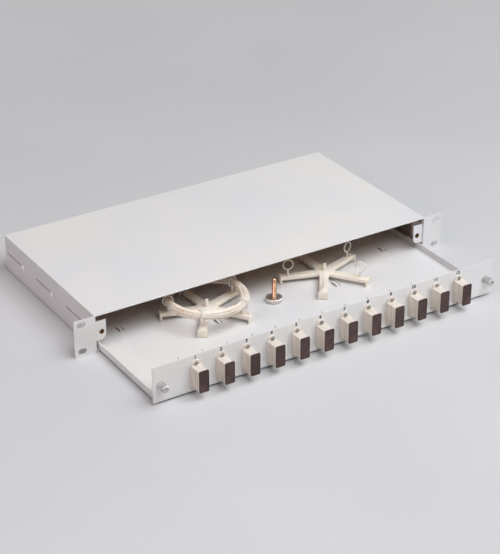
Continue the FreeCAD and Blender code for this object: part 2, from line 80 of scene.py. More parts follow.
bpy.ops.object.camera_add(
    location=camera_place,
    rotation=(math.radians(90 - elevation), 0, math.radians(azimuth)),
)
camera = bpy.context.object
camera.name = "photo_camera"
camera.data.sensor_width = 36
camera.data.lens = focal_pixels * camera.data.sensor_width / image_height
bpy.context.scene.camera = camera
print("camera lens", round(camera.data.lens, 1), "mm")

# %% [markdown]
# ## Studio
# The picture has soft light from above and a little from the front right: the cover is brightest, the
# front a step darker and the left side darkest. A sun would draw hard shadows, so one large lamp gives
# that order. A weak warm lamp lifts the left side and the flanks of the adapters, a low one lifts the
# front panel, and a dim world fills the rest. Neither small lamp reaches far under the cover.

# %% World
scene = bpy.context.scene
scene.view_settings.view_transform = "Standard"
world = bpy.data.worlds.new("studio")
scene.world = world
world.use_nodes = True
sky = world.node_tree.nodes["Background"]
sky.inputs["Color"].default_value = (1.0, 0.85, 0.78, 1)
sky.inputs["Strength"].default_value = 0.12
print("made the world", world.name)


# %% Lamps
def area_lamp(name, place, target, size, energy, colour):
    """A rectangular lamp turned towards a point."""
    bpy.ops.object.light_add(type="AREA", location=place)
    lamp = bpy.context.object
    lamp.name = name
    lamp.data.shape = "RECTANGLE"
    lamp.data.size, lamp.data.size_y = size
    lamp.data.energy = energy
    lamp.data.color = colour
    lamp.rotation_euler = (Vector(target) - Vector(place)).to_track_quat("-Z", "Y").to_euler()
    return lamp


soft_box = area_lamp(
    "soft_box", place=(0.5, -0.86, 1.88), target=(0, -0.03, 0),
    size=(2.8, 1.5), energy=56.0, colour=(0.955, 0.985, 1.0),
)
side_fill = area_lamp(
    "side_fill", place=(-1.4, -0.2, 0.95), target=(-0.1, -0.05, 0),
    size=(0.8, 0.8), energy=5.8, colour=(1.0, 0.84, 0.88),
)
front_fill = area_lamp(
    "front_fill", place=(1.1, -3.2, 0.3), target=(0.16, -0.12, 0),
    size=(0.5, 0.3), energy=0.17, colour=(1.0, 0.97, 0.96),
)
front_fill.data.spread = math.radians(14)
print("lamps", soft_box.name + ",", side_fill.name, "and", front_fill.name)

# %% [markdown]
# ## Patterns for the finishes
# Pictures could carry the finishes, but a worked-out pattern stays sharp from near by. So each finish is a
# small node tree on object coordinates in metres, where a noise at a scale of a thousand has grains of
# about a millimetre. Helpers add a noise, colour it, turn it into a roughness or raise it as a bump.


# %% Colours, finishes and sockets
def shade(red, green, blue):
    """Linear colour of an sRGB triple from 0 to 255."""
    parts = [value / 255 for value in (red, green, blue)]
    linear = [((part + 0.055) / 1.055) ** 2.4 if part > 0.04045 else part / 12.92 for part in parts]
    return (*linear, 1)


white = shade(255, 255, 255)


def shader_of(material):
    """The shader of a finish."""
    return material.node_tree.nodes["Principled BSDF"]


def new_finish(name):
    """A material, its shader and the object coordinates."""
    material = bpy.data.materials.new(name)
    material.use_nodes = True
    where = material.node_tree.nodes.new("ShaderNodeTexCoord").outputs["Object"]
    return material, shader_of(material), where


def beside(socket, kind):
    """A new node in the tree of a socket."""
    return socket.id_data.nodes.new(kind)


def link(start, end):
    """Joins two sockets."""
    start.id_data.links.new(start, end)


# %% Noise and tones
noise_span = (0.35, 0.65)  # where most values of a noise lie


def grain(where, scale, detail=2.0, stretch=(1, 1, 1)):
    """Noise with so many grains to a metre, stretched along an axis if wanted."""
    mapping = beside(where, "ShaderNodeMapping")
    mapping.inputs["Scale"].default_value = stretch
    noise = beside(where, "ShaderNodeTexNoise")
    noise.inputs["Scale"].default_value = scale
    noise.inputs["Detail"].default_value = detail
    link(where, mapping.inputs["Vector"])
    link(mapping.outputs["Vector"], noise.inputs["Vector"])
    return noise.outputs["Fac"]


def tint(value, low, high, span=noise_span):
    """Colours a pattern from one tone to another."""
    ramp = beside(value, "ShaderNodeValToRGB")
    for stop, place, colour in zip(ramp.color_ramp.elements, span, (low, high)):
        stop.position = place
        stop.color = colour
    link(value, ramp.inputs["Fac"])
    return ramp.outputs["Color"]


def mixed(first, second, blend="MIX"):
    """A node that mixes two colour patterns."""
    mix = beside(first, "ShaderNodeMix")
    mix.data_type = "RGBA"
    mix.blend_type = blend
    link(first, mix.inputs["A"])
    link(second, mix.inputs["B"])
    return mix


def times(first, second):
    """One colour pattern laid over another."""
    mix = mixed(first, second, "MULTIPLY")
    mix.inputs["Factor"].default_value = 1.0
    return mix.outputs["Result"]


# %% Roughness and bump
def ranged(value, before, after):
    """A node that maps one span of values onto another."""
    node = beside(value, "ShaderNodeMapRange")
    for name, number in zip(("From Min", "From Max", "To Min", "To Max"), (*before, *after)):
        node.inputs[name].default_value = number
    link(value, node.inputs["Value"])
    return node


def rough(shader, value, low, high):
    """Turns a pattern into a range of roughness."""
    node = ranged(value, noise_span, (low, high))
    link(node.outputs["Result"], shader.inputs["Roughness"])


def raise_bump(shader, value, depth, strength):
    """Raises a pattern as a bump of the given depth in metres."""
    bump = beside(value, "ShaderNodeBump")
    bump.inputs["Distance"].default_value = depth
    bump.inputs["Strength"].default_value = strength
    link(value, bump.inputs["Height"])
    link(bump.outputs["Normal"], shader.inputs["Normal"])


# %% [markdown]
# ## Sheet-metal finish
# The housing, the drawer and the latch brackets carry a pale grey powder coat. Baked powder flows into
# soft waves about a millimetre wide, like orange peel, and its tone drifts over a large sheet. A flat grey
# would look like card, so noises of very different size make the tone, the gloss and the skin. Inside the
# housing a warm brown painted shade lies in the coat's colour, for the shade under the cover. A few nodes
# find the inside by its place, in the box between the walls.


# %% Inside of a box
def arithmetic(operation, first, second, kind="ShaderNodeMath"):
    """One arithmetic node, with a number, a vector or another node's output as its second value."""
    node = beside(first, kind)
    node.operation = operation
    link(first, node.inputs[0])
    if isinstance(second, bpy.types.NodeSocket):
        link(second, node.inputs[1])
    else:
        node.inputs[1].default_value = second
    return node.outputs[0]


def within(where, low, high):
    """One inside a box and zero outside it."""
    place = where
    moves = {"SUBTRACT": (low + high) / 2, "DIVIDE": (high - low) / 2, "ABSOLUTE": (0, 0, 0)}
    for operation, vector in moves.items():
        place = arithmetic(operation, place, vector, "ShaderNodeVectorMath")
    split = beside(where, "ShaderNodeSeparateXYZ")
    link(place, split.inputs["Vector"])
    far = arithmetic("MAXIMUM", split.outputs["X"], split.outputs["Y"])
    far = arithmetic("MAXIMUM", far, split.outputs["Z"])
    return arithmetic("LESS_THAN", far, 1.0)


# %% Powder coat
def powder_coat(name):
    """Pale grey coat with a soft orange-peel skin."""
    material, shader, where = new_finish(name)
    drift = tint(grain(where, scale=7), shade(229, 227, 224), shade(222, 222, 224))
    fine = grain(where, scale=1900, detail=1)
    specks = tint(fine, shade(249, 249, 249), white, span=(0.3, 0.5))
    link(times(drift, specks), shader.inputs["Base Color"])
    rough(shader, grain(where, scale=45, detail=4), low=0.40, high=0.54)
    raise_bump(shader, grain(where, scale=700), depth=0.12 * mm, strength=0.3)
    return material


coat = powder_coat("powder_coat")
print("made", coat.name)

# %% Coat with a painted shade inside
housing_half = 217 * mm
rim_depth = 4 * mm
skin_depth = 1.1 * mm  # just less than the sheet is thick


def within_housing(material, painted_low, painted_high, outside=False):
    """Paints a colour into a finish inside the housing walls as painted shade, or outside them as a painted
    highlight.
    """
    where = material.node_tree.nodes["Texture Coordinate"].outputs["Object"]
    base = shader_of(material).inputs["Base Color"]
    colour = base.links[0].from_socket
    margin = Vector((skin_depth, skin_depth, skin_depth))
    low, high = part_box("housing_base")
    low = Vector((-housing_half, rim_depth, low.z)) + margin
    high = Vector((housing_half, high.y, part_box("housing_cover")[1].z)) - margin
    painted_tone = tint(grain(where, scale=30, detail=3), painted_low, painted_high)
    mix = mixed(painted_tone, colour) if outside else mixed(colour, painted_tone)
    link(within(where, low, high), mix.inputs["Factor"])
    link(mix.outputs["Result"], base)


# painted shade: a warm brown tone inside the housing walls and under the cover, where shade falls
housing_coat_painted_shade = powder_coat("housing_coat_painted_shade")
within_housing(housing_coat_painted_shade, shade(184, 154, 134), shade(197, 167, 147))
print("made", housing_coat_painted_shade.name)

# %% [markdown]
# ## Metal finishes
# The small hardware is plated: zinc on the rails and screws, nickel on the thumbscrews, brass in the
# threaded inserts, copper on the stud and chrome on its nut. One metal in several colours would do from
# afar, but what tells them apart is how far they are polished. So each gets its own roughness range and
# fine marks in its working direction. The rails are dull and darker inside the housing, a painted shade
# that keeps the guide slits dark, and their lug ends outside carry a near white painted highlight.


# %% Plated metals
def plated(name, low, high, gloss, marks, stretch=(1, 0.1, 1), depth=0.03 * mm):
    """Metal with a drifting tone and so many fine marks to a metre, drawn out along one direction."""
    material, shader, where = new_finish(name)
    shader.inputs["Metallic"].default_value = 1.0
    link(tint(grain(where, scale=120, detail=3), low, high), shader.inputs["Base Color"])
    scratches = grain(where, marks, detail=3, stretch=stretch)
    rough(shader, scratches, *gloss)
    raise_bump(shader, scratches, depth, strength=0.25)
    return material


zinc = plated("zinc_steel", shade(146, 143, 140), shade(172, 169, 164), gloss=(0.28, 0.45), marks=500)
nickel = plated("nickel_plate", shade(186, 183, 183), shade(206, 203, 202), gloss=(0.5, 0.66), marks=900)
brass = plated("brass", shade(138, 112, 84), shade(160, 132, 100), gloss=(0.4, 0.55), marks=900)
copper = plated(
    "copper_plate", shade(216, 170, 140), shade(234, 194, 164), gloss=(0.2, 0.34), marks=800,
    stretch=(1, 1, 0.1),
)
chrome = plated(
    "chrome", shade(208, 200, 197), shade(222, 215, 212), gloss=(0.34, 0.46), marks=700,
    stretch=(1, 1, 0.15), depth=0.01 * mm,
)
# painted shade: the darker rail tone inside the housing keeps the slits dark; painted highlight: near white
# lug ends outside
rail_zinc_painted_shade_highlight = plated("rail_zinc_painted_shade_highlight", shade(160, 152, 147), shade(176, 168, 162), gloss=(0.42, 0.58), marks=500)
within_housing(rail_zinc_painted_shade_highlight, shade(248, 246, 245), white, outside=True)
print("made", [metal.name for metal in (zinc, nickel, brass, copper, chrome, rail_zinc_painted_shade_highlight)])

# %% [markdown]
# ## Plastic and rubber finishes
# The adapters are cream moulded plastic with a dusty skin, their caps are dull and dark brown-grey, and
# the spools are a milky plastic that lets some light through. Black rubber lines the cable entries, and
# the fibre jacket runs from cream to a warm peach. Plain colours would look like paint, so each gets
# clouds, specks and the fine grain of its mould.


# %% Moulded finishes
def moulded(name, low, high, gloss, scale, depth):
    """Moulded skin with cloudy colour and a fine spark-eroded grain."""
    material, shader, where = new_finish(name)
    clouds = tint(grain(where, scale / 20, detail=3), low, high)
    fine = grain(where, scale * 2, detail=1)
    specks = tint(fine, shade(248, 248, 248), white, span=(0.3, 0.55))
    link(times(clouds, specks), shader.inputs["Base Color"])
    rough(shader, grain(where, scale / 6, detail=3), *gloss)
    raise_bump(shader, grain(where, scale), depth, strength=0.3)
    return material


def milky(material, weight, reach):
    """Lets light pass a few millimetres into a plastic."""
    shader = shader_of(material)
    shader.inputs["Subsurface Weight"].default_value = weight
    shader.inputs["Subsurface Radius"].default_value = (1.0, 0.8, 0.6)
    shader.inputs["Subsurface Scale"].default_value = reach


adapter_plastic = moulded(
    "adapter_plastic", shade(217, 208, 198), shade(223, 215, 206), gloss=(0.42, 0.58), scale=1800,
    depth=0.03 * mm,
)
cap_plastic = moulded(
    "cap_plastic", shade(69, 53, 51), shade(87, 69, 67), gloss=(0.45, 0.62), scale=1500, depth=0.04 * mm
)
shader_of(cap_plastic).inputs["Specular IOR Level"].default_value = 0.25
spool_plastic = moulded(
    "spool_plastic", shade(240, 231, 219), shade(243, 235, 224), gloss=(0.3, 0.45), scale=900, depth=0.02 * mm
)
milky(spool_plastic, weight=0.8, reach=4 * mm)
rubber = moulded(
    "grommet_rubber", shade(34, 33, 33), shade(48, 47, 46), gloss=(0.6, 0.8), scale=1200, depth=0.05 * mm
)
print("made", [plastic.name for plastic in (adapter_plastic, cap_plastic, spool_plastic, rubber)])


# %% Fibre jacket and printing ink
def jacket():
    """Soft jacket whose colour runs between cream and peach."""
    material, shader, where = new_finish("fibre_jacket")
    drift = tint(grain(where, scale=55, detail=3), shade(255, 250, 240), shade(253, 240, 226))
    strands = tint(grain(where, scale=420), shade(244, 240, 236), white)
    link(times(drift, strands), shader.inputs["Base Color"])
    rough(shader, grain(where, scale=900), low=0.38, high=0.52)
    raise_bump(shader, grain(where, scale=2600, detail=1), depth=0.02 * mm, strength=0.3)
    return material


fibre_jacket = jacket()
milky(fibre_jacket, weight=0.2, reach=0.8 * mm)
ink = moulded(
    "printing_ink", shade(12, 12, 13), shade(20, 20, 21), gloss=(0.5, 0.7), scale=3000, depth=0.01 * mm
)
print("made", fibre_jacket.name, "and", ink.name)

# %% [markdown]
# ## Fibre coil
# Nearly ten metres of fibre lie wound on the left spool. Each turn passes through the five rings of the
# spool, where the strands lie side by side, and between the rings the turns fan out and sag. The coil
# could be a ring with a striped texture, but the strands cross and part in plain sight. So it is one NURBS
# line, with a loop for its turns and two loose ends that drop onto the arm at the front right.

# %% Strands in a ring
fibre_diameter = 1.2 * mm
strand_pitch = 1.22 * mm
turns = 36


def strand_seats():
    """Places of the strands in a ring, from the middle outwards, as offsets out and up."""
    seats = []
    for row in range(-3, 4):
        for column in range(-4, 5):
            out = (column + 0.5 * (row % 2)) * strand_pitch
            up = row * strand_pitch * math.sin(math.radians(60))
            seats.append((round(math.hypot(out, up), 7), math.atan2(up, out), out, up))
    return [seat[2:] for seat in sorted(seats)[:turns]]


# %% Turns of the coil
spool_places = {"left": Vector((-78 * mm, 4 * mm, 0)), "right": Vector((78 * mm, 4 * mm, 0))}
ring_place = 43 * mm
ring_height = 3.4 * mm
first_ring = 306  # degrees, front right
span_fans = (0.0, 0.62, 1.0, 0.62)  # how far the strands part from one ring to the next
spans = {  # how much wider the bundle gets there, and how many millimetres it draws inwards
    "right": (0.55, 2.5),
    "back right": (0.5, 2.0),
    "back left": (0.4, 1.5),
    "left": (0.12, 0.3),
    "front": (0.12, -0.4),
}
points_per_turn = len(spans) * len(span_fans)
upward_fan = 0.3
slack_range = (-0.6, 0.6)
sag_range = (0.2, 1.1)
spline_pull = 1.0122  # the curve runs this much inside its points


def coil_points():
    """All points of the turns, from the front right ring and round."""
    dice = random.Random(7)
    points = []
    for out, up in strand_seats():
        slack = dice.uniform(*slack_range) * mm
        sag = dice.uniform(*sag_range) * mm
        for index in range(points_per_turn):
            widen, inward = list(spans.values())[index // len(span_fans)]
            fan = span_fans[index % len(span_fans)]
            reach = ring_place + out * (1 + widen * fan) + (slack - inward * mm) * fan
            turn = math.radians(first_ring + index * 360 / points_per_turn)
            outwards = Vector((math.cos(turn), math.sin(turn), 0))
            point = spool_places["left"] + outwards * reach * spline_pull
            point.z = ring_height + up * (1 + upward_fan * fan) - sag * fan
            points.append(point)
    return points


# %% Settling a piece
def settle(piece, body, slot, material, *replaced):
    """Gives a finished piece its material and its body, in place of the CAD nodes it stands for."""
    piece.data.materials.clear()
    piece.data.materials.append(material)
    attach(piece, body)
    if replaced:
        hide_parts(*replaced)
    return piece


# %% Fibre coil
first_end = [
    (-63.5, -16.2, -9), (-61.6, -18.9, -9), (-59.4, -22, -8.9), (-57.2, -26, -6.6), (-55.4, -28.9, -1.6)
]
last_end = [(-50.2, -31.5, 1.8), (-48.6, -33.6, -3.4), (-48.4, -35.3, -7.8), (-48.9, -36.5, -9)]
route = [Vector(point) * mm for point in first_end] + coil_points()
route += [Vector(point) * mm for point in last_end]
curve = bpy.data.curves.new("fibre_strands", "CURVE")
curve.dimensions = "3D"
line = curve.splines.new("NURBS")
line.points.add(len(route) - 1)
for spot, point in zip(line.points, route):
    spot.co = (*point, 1)
line.order_u = 3
line.use_endpoint_u = True
line.resolution_u = 4
fibre = bpy.data.objects.new("fibre_strands", curve)
scene.collection.objects.link(fibre)
centreline = bpy.data.meshes.new_from_object(fibre)
curve.bevel_depth = fibre_diameter / 2
curve.bevel_resolution = 2
settle(fibre, "drawer", "fibre_jacket", fibre_jacket, "fibre_coil")

# %% [markdown]
# ## Picking and shaping
# Operators act on all that is selected, so each step starts from a clear selection. Faces and edges could
# be picked by their numbers, but those change with every edit, so they are picked by where they lie. What
# is picked is then moved, scaled or pulled out.


# %% Picking
def select_none():
    """Leaves edit mode and takes the selection off everything."""
    if bpy.context.mode != "OBJECT":
        bpy.ops.object.mode_set(mode="OBJECT")
    bpy.ops.object.select_all(action="DESELECT")


def only(*objects):
    """Leaves just these objects selected, the last one active."""
    select_none()
    for obj in objects:
        obj.select_set(True)
    bpy.context.view_layer.objects.active = objects[-1]


def clear_picks(mesh):
    """Takes the selection off every vertex, edge and face."""
    for items in (mesh.vertices, mesh.edges, mesh.polygons):
        items.foreach_set("select", [False] * len(items))


def pick_faces(obj, test):
    """Enters edit mode with just the faces picked whose centre and normal pass the test."""
    only(obj)
    clear_picks(obj.data)
    for face in obj.data.polygons:
        face.select = test(face.center, face.normal)
    bpy.context.tool_settings.mesh_select_mode = (False, False, True)
    bpy.ops.object.mode_set(mode="EDIT")


def pick_edges(obj, test):
    """Enters edit mode with just the edges picked whose two ends pass the test."""
    only(obj)
    clear_picks(obj.data)
    points = obj.data.vertices
    for edge in obj.data.edges:
        ends = [points[index] for index in edge.vertices]
        if test(ends[0].co, ends[1].co):
            edge.select = True
            for end in ends:
                end.select = True
    bpy.context.tool_settings.mesh_select_mode = (False, True, False)
    bpy.ops.object.mode_set(mode="EDIT")


# %% Shaping
facing = 0.9  # a normal with this much along an axis faces that way


def move(shift):
    """Moves what is picked."""
    bpy.ops.transform.translate(value=shift)


def resize(factors, centre):
    """Scales what is picked about a point."""
    bpy.ops.transform.resize(value=factors, center_override=centre)


def pull(shift):
    """Extrudes the picked faces along a vector."""
    bpy.ops.mesh.extrude_region_move(TRANSFORM_OT_translate={"value": shift})


def smooth(piece, angle=35):
    """Shades a piece smooth, except over edges sharper than the angle."""
    only(piece)
    bpy.ops.object.shade_smooth_by_angle(angle=math.radians(angle))
    return piece


def apply_all(piece):
    """Applies every modifier of a piece."""
    only(piece)
    for modifier in list(piece.modifiers):
        bpy.ops.object.modifier_apply(modifier=modifier.name)


# %% [markdown]
# ## Coated sheet parts
# The base, the cover, the tray, the latch brackets and the guide rails are folded sheet, and their edges
# are never quite sharp. They could be folded again from planes, but the CAD solids already have the right
# shape. So each is copied, its loose triangles are merged into whole faces, and a bevel a fifth of a
# millimetre wide rolls the edges. A few places are first shaped to the photograph: slits, lugs, brackets
# and tie bridges.

# %% Slits and lugs of the rails
guide_height = 1.5 * mm
slit_growth = 1.35
head_growth = 3.5
lug_tuck = 0.6 * mm
head_depth = 1.1 * mm


def widen_slits(piece):
    """Opens the guide slits of the side walls a little, round the lugs."""
    pick_edges(piece, lambda a, b: min(abs(a.x), abs(b.x)) > housing_half - 2 * mm and min(a.y, b.y) > 20 * mm
               and max(abs(a.z - guide_height), abs(b.z - guide_height)) < 1 * mm)
    resize((1, 1, slit_growth), (0, 0, guide_height))


def peen_lugs(piece):
    """Spreads the ends of the lugs over the slits, as a punch does."""
    side = 1 if piece.data.vertices[0].co.x > 0 else -1
    lug_ends = housing_half + 0.5 * mm
    pick_faces(piece, lambda middle, normal: abs(middle.x) > lug_ends and abs(normal.x) > facing)
    move((-side * lug_tuck, 0, 0))
    pull((0, 0, 0))
    resize((1, 1, head_growth), (0, 0, guide_height))
    pull((side * head_depth, 0, 0))


# %% Brackets and tie bridges
tray_floor = -18.6 * mm
cover_clearance = 2.6 * mm
bridge_press = 1.6 * mm


def lower_top(piece):
    """Takes the upper edge of a bracket down, clear of the cover."""
    top = max(vertex.co.z for vertex in piece.data.vertices)
    pick_edges(piece, lambda a, b: min(a.z, b.z) > top - 0.1 * mm)
    move((0, 0, -cover_clearance))


def flatten_bridges(piece):
    """Presses the tie bridges of the tray down until they stand a millimetre proud."""
    low, high = tray_floor + 0.8 * mm, tray_floor + 3 * mm
    pick_edges(piece, lambda a, b: min(a.z, b.z) > low and max(a.z, b.z) < high
               and min(a.y, b.y) > -30 * mm and max(abs(a.x), abs(b.x)) < 190 * mm)
    move((0, 0, -bridge_press))


# %% Rolled edges
def rolled(name, change):
    """A copy of a CAD sheet part, shaped where needed, with its sharp edges rolled over."""
    piece = bpy.data.objects.new(name + "_rolled", nodes[name].data.copy())
    scene.collection.objects.link(piece)
    only(piece)
    bpy.ops.object.mode_set(mode="EDIT")
    bpy.ops.mesh.select_all(action="SELECT")
    bpy.ops.mesh.remove_doubles(threshold=0.01 * mm)
    bpy.ops.mesh.dissolve_limited(angle_limit=math.radians(1))
    select_none()
    if change:
        change(piece)
    smooth(piece)
    edge = piece.modifiers.new("rolled_edge", "BEVEL")
    edge.width = 0.22 * mm
    edge.segments = 2
    edge.limit_method = "ANGLE"
    edge.angle_limit = math.radians(40)
    edge.harden_normals = True
    apply_all(piece)
    return piece


sheet_parts = {
    "housing_base": ("housing", "powder_coat", housing_coat_painted_shade, widen_slits),
    "housing_cover": ("housing", "powder_coat", housing_coat_painted_shade, None),
    "latch_bracket_left": ("housing", "powder_coat", coat, lower_top),
    "latch_bracket_right": ("housing", "powder_coat", coat, lower_top),
    "guide_rail_left": ("housing", "zinc_steel", rail_zinc_painted_shade_highlight, peen_lugs),
    "guide_rail_right": ("housing", "zinc_steel", rail_zinc_painted_shade_highlight, peen_lugs),
    "drawer_tray": ("drawer", "powder_coat", coat, flatten_bridges),
}
for name, (body, slot, material, change) in sheet_parts.items():
    sheet = settle(rolled(name, change), body, slot, material, name)
    print(sheet.name, len(sheet.data.polygons), "faces")

# %% [markdown]
# ## Small hardware that stays
# The nuts behind the panel, the clips on the thumbscrews and the brass inserts could be modelled again
# too, but they are small and their CAD shape is right. They keep it and only get their finish.

# %% Finishes of the kept nodes
kept = {
    "adapter_nuts": zinc,
    "retainer_clip_left": zinc,
    "retainer_clip_right": zinc,
    "latch_inserts": brass,
}
for name, material in kept.items():
    nodes[name].material_slots[0].material = material
print("kept", len(kept), "CAD nodes")

# %% [markdown]
# ## Starting shapes
# Every piece from here on starts as a block or a drum and is shaped by insets, extrusions, bevels and
# booleans. A piece could be moved as an object, but then a pattern on object coordinates would move with
# it. So each keeps its place in its mesh and its object at the origin, as the CAD nodes do.


# %% Blocks and drums
def at_origin(name):
    """Names the active object and moves its place, turn and size into its mesh."""
    piece = bpy.context.object
    piece.name = name
    bpy.ops.object.transform_apply(location=True, rotation=True, scale=True)
    return piece


def block(name, low, high):
    """A cube stretched between two corners."""
    low, high = Vector(low), Vector(high)
    select_none()
    bpy.ops.mesh.primitive_cube_add(size=1, location=(low + high) / 2, scale=high - low)
    return at_origin(name)


def drum(name, centre, radius, length, sides, along_y=False):
    """A cylinder along Z, or along Y, round its centre."""
    turn = (math.radians(90), 0, 0) if along_y else (0, 0, 0)
    select_none()
    bpy.ops.mesh.primitive_cylinder_add(
        vertices=sides, radius=radius, depth=length, location=centre, rotation=turn
    )
    return at_origin(name)


# %% Edges, fields, booleans and copies
def round_edges(piece, width, steps, test):
    """Bevels the edges whose two ends pass the test."""
    pick_edges(piece, test)
    bpy.ops.mesh.bevel(offset=width, segments=steps, affect="EDGES")


def inset(thickness, each=False):
    """Draws a smaller face inside the picked faces, or inside each of them."""
    bpy.ops.mesh.inset(thickness=thickness, use_individual=each)


def combine(piece, operation, *tools):
    """Joins shapes to a piece, or cuts them from it, and removes them."""
    for tool in tools:
        modifier = piece.modifiers.new("combine", "BOOLEAN")
        modifier.operation = operation
        modifier.solver = "EXACT"
        modifier.object = tool
        apply_all(piece)
        bpy.data.objects.remove(tool)
    return piece


def copied(piece, name, place, turn=(0, 0, 0)):
    """A copy with its own mesh, turned about the origin and then moved."""
    only(piece)
    bpy.ops.object.duplicate()
    bpy.context.object.rotation_euler = turn
    bpy.context.object.location = place
    return at_origin(name)


# %% [markdown]
# ## Duplex adapters
# An adapter is a moulded body that passes through the panel and takes a plug from either side. It has a
# flange with round ends for its two screws, a collar in front of the flange and shallow grooves in its
# flanks. It could be cut from one block with booleans, but a body shaped by insets and extrusions keeps
# clean faces, and only the flange and the collar are joined to it. One adapter is made and copied.

# %% Adapter body
adapter_front, adapter_rear = (corner.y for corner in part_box("adapter_01"))
adapter_half = Vector((5.4 * mm, 0, 11.7 * mm))
lid = 1.4 * mm
mouth_wall, mouth_depth = 0.5 * mm, 2.2 * mm
port_wall, port_depth = 0.7 * mm, 8.0 * mm
hair = 0.01 * mm  # points closer than this lie on one plane


def on_outline(point, half):
    """Whether a point lies on the outer outline of a block, and not on a field inside it."""
    return abs(point.x) > half.x - 0.3 * mm or abs(point.z) > half.z - 0.3 * mm


def adapter_body():
    """Body with a mouth and a deep port at each end, round its own axis."""
    front = adapter_front + lid
    body = block("adapter", Vector((0, front, 0)) - adapter_half, Vector((0, adapter_rear, 0)) + adapter_half)
    for end, inward in ((front, 1), (adapter_rear, -1)):
        pick_faces(body, lambda middle, normal: abs(middle.y - end) < hair)
        inset(mouth_wall)
        pull((0, inward * mouth_depth, 0))
        inset(port_wall)
        pull((0, inward * port_depth, 0))
    round_edges(body, 0.5 * mm, 3, lambda a, b: abs(a.y - b.y) > 20 * mm)
    for end in (front, adapter_rear):
        round_edges(body, 0.2 * mm, 2, lambda a, b: abs(a.y - end) + abs(b.y - end) < hair
                    and on_outline(a, adapter_half) and on_outline(b, adapter_half))
    return body


# %% Grooves in the flanks
flank_grooves = ((4.6 * mm, 5.4 * mm), (8.2 * mm, 9.0 * mm))
groove_depth = 0.45 * mm
flank = adapter_half.x - 0.1 * mm


def groove_flanks(body):
    """Presses shallow upright grooves into both flanks."""
    for cut in [place for groove in flank_grooves for place in groove]:
        pick_faces(body, lambda middle, normal: abs(normal.x) > facing and abs(middle.x) > flank)
        bpy.ops.mesh.bisect(plane_co=(0, adapter_front + cut, 0), plane_no=(0, 1, 0))
    for side in (-1, 1):
        def in_groove(middle, normal):
            depth = middle.y - adapter_front
            return middle.x * side > flank and any(low < depth < high for low, high in flank_grooves)

        pick_faces(body, in_groove)
        pull((-side * groove_depth, 0, 0))


# %% Adapter flange and collar
panel_front = -123.5 * mm
flange_depth = 2 * mm
ear_offset = 12.6 * mm
plate_half, plate_depth = Vector((6.2 * mm, 0, 12.4 * mm)), 1.8 * mm
collar_half, collar_depth, collar_root = Vector((5.9 * mm, 0, 12.2 * mm)), 5.5 * mm, 1.5 * mm


def before_panel(depth):
    """The point on the adapter's axis at a distance in front of the panel."""
    return Vector((0, panel_front - depth, 0))


def adapter_flange():
    """Upright plate with narrow round ends, drawn out from a disc, over a plate that covers the window."""
    flange = drum("flange", before_panel(flange_depth / 2), 5.2 * mm, flange_depth, sides=46, along_y=True)
    for side in (-1, 1):
        pick_edges(flange, lambda a, b: a.z * side > 0 and b.z * side > 0)
        move((0, 0, side * ear_offset))
    round_edges(flange, 0.4 * mm, 2, lambda a, b: max(a.y, b.y) < panel_front - flange_depth + 0.1 * mm)
    plate = block("plate", before_panel(plate_depth) - plate_half, before_panel(0) + plate_half)
    round_edges(plate, 0.3 * mm, 2, lambda a, b: max(a.y, b.y) < panel_front - plate_depth + 0.1 * mm)
    return combine(flange, "UNION", plate)


def adapter_collar():
    """Step of the body in front of the flange."""
    low, high = before_panel(collar_depth) - collar_half, before_panel(collar_root) + collar_half
    collar = block("collar", low, high)
    round_edges(collar, 0.35 * mm, 2, lambda a, b: min(a.y, b.y) < panel_front - collar_depth + 0.5 * mm)
    return collar


first_adapter = adapter_body()
groove_flanks(first_adapter)
combine(first_adapter, "UNION", adapter_flange(), adapter_collar())
smooth(first_adapter, 30)
print("adapter", len(first_adapter.data.polygons), "faces")

# %% [markdown]
# ## Dust caps
# Each mouth is closed by a dark cap with two shallow fields, one for each port, and two plugs behind. The
# cap at the front is a lid over the whole face, with a proud upper edge for a finger, and the cap at the
# rear lies in the mouth. A plain plate would do from afar, but the fields show from near by. So a plate is
# cut across the middle, and each half gets its field and its plug by insets and extrusions.

# %% Dust cap
field_wall, field_depth = 0.7 * mm, 0.35 * mm
plug_wall, plug_length = 2.0 * mm, 4 * mm


def dust_cap(name, front, back, low, high, half_width, corner):
    """Cap between two heights, with its outer face at the front, round the adapter's axis."""
    cap = block(name, (-half_width, front, low), (half_width, back, high))
    half = Vector((half_width, 0, (high - low) / 2))
    centre = Vector((0, 0, (low + high) / 2))

    def at_end(point):
        return abs(point.z - centre.z) > half.z - hair

    def on_rim(point):
        return point.y < front + hair and on_outline(point - centre, half)

    pick_faces(cap, lambda middle, normal: True)
    bpy.ops.mesh.bisect(plane_co=(0, 0, 0), plane_no=(0, 0, 1))
    pick_faces(cap, lambda middle, normal: normal.y < -facing)
    inset(field_wall, each=True)
    pull((0, field_depth, 0))
    pick_faces(cap, lambda middle, normal: normal.y > facing and middle.y > back - hair)
    inset(plug_wall, each=True)
    pull((0, plug_length, 0))
    round_edges(cap, corner, 4, lambda a, b: abs(a.y - b.y) > 1 * mm and at_end(a) and at_end(b))
    round_edges(cap, 0.2 * mm, 2, lambda a, b: abs(a.z + b.z) > 0.1 * mm and on_rim(a) and on_rim(b))
    return smooth(cap, 30)


front_cap = dust_cap(
    "front_cap", front=adapter_front, back=adapter_front + lid,
    low=-11.9 * mm, high=13.1 * mm, half_width=5.6 * mm, corner=1.5 * mm,
)
rear_cap = dust_cap(
    "rear_cap", front=adapter_front + 0.1 * mm, back=adapter_front + mouth_depth,
    low=-11.1 * mm, high=11.1 * mm, half_width=4.8 * mm, corner=0.4 * mm,
)
print("dust caps", len(front_cap.data.polygons), "and", len(rear_cap.data.polygons), "faces")

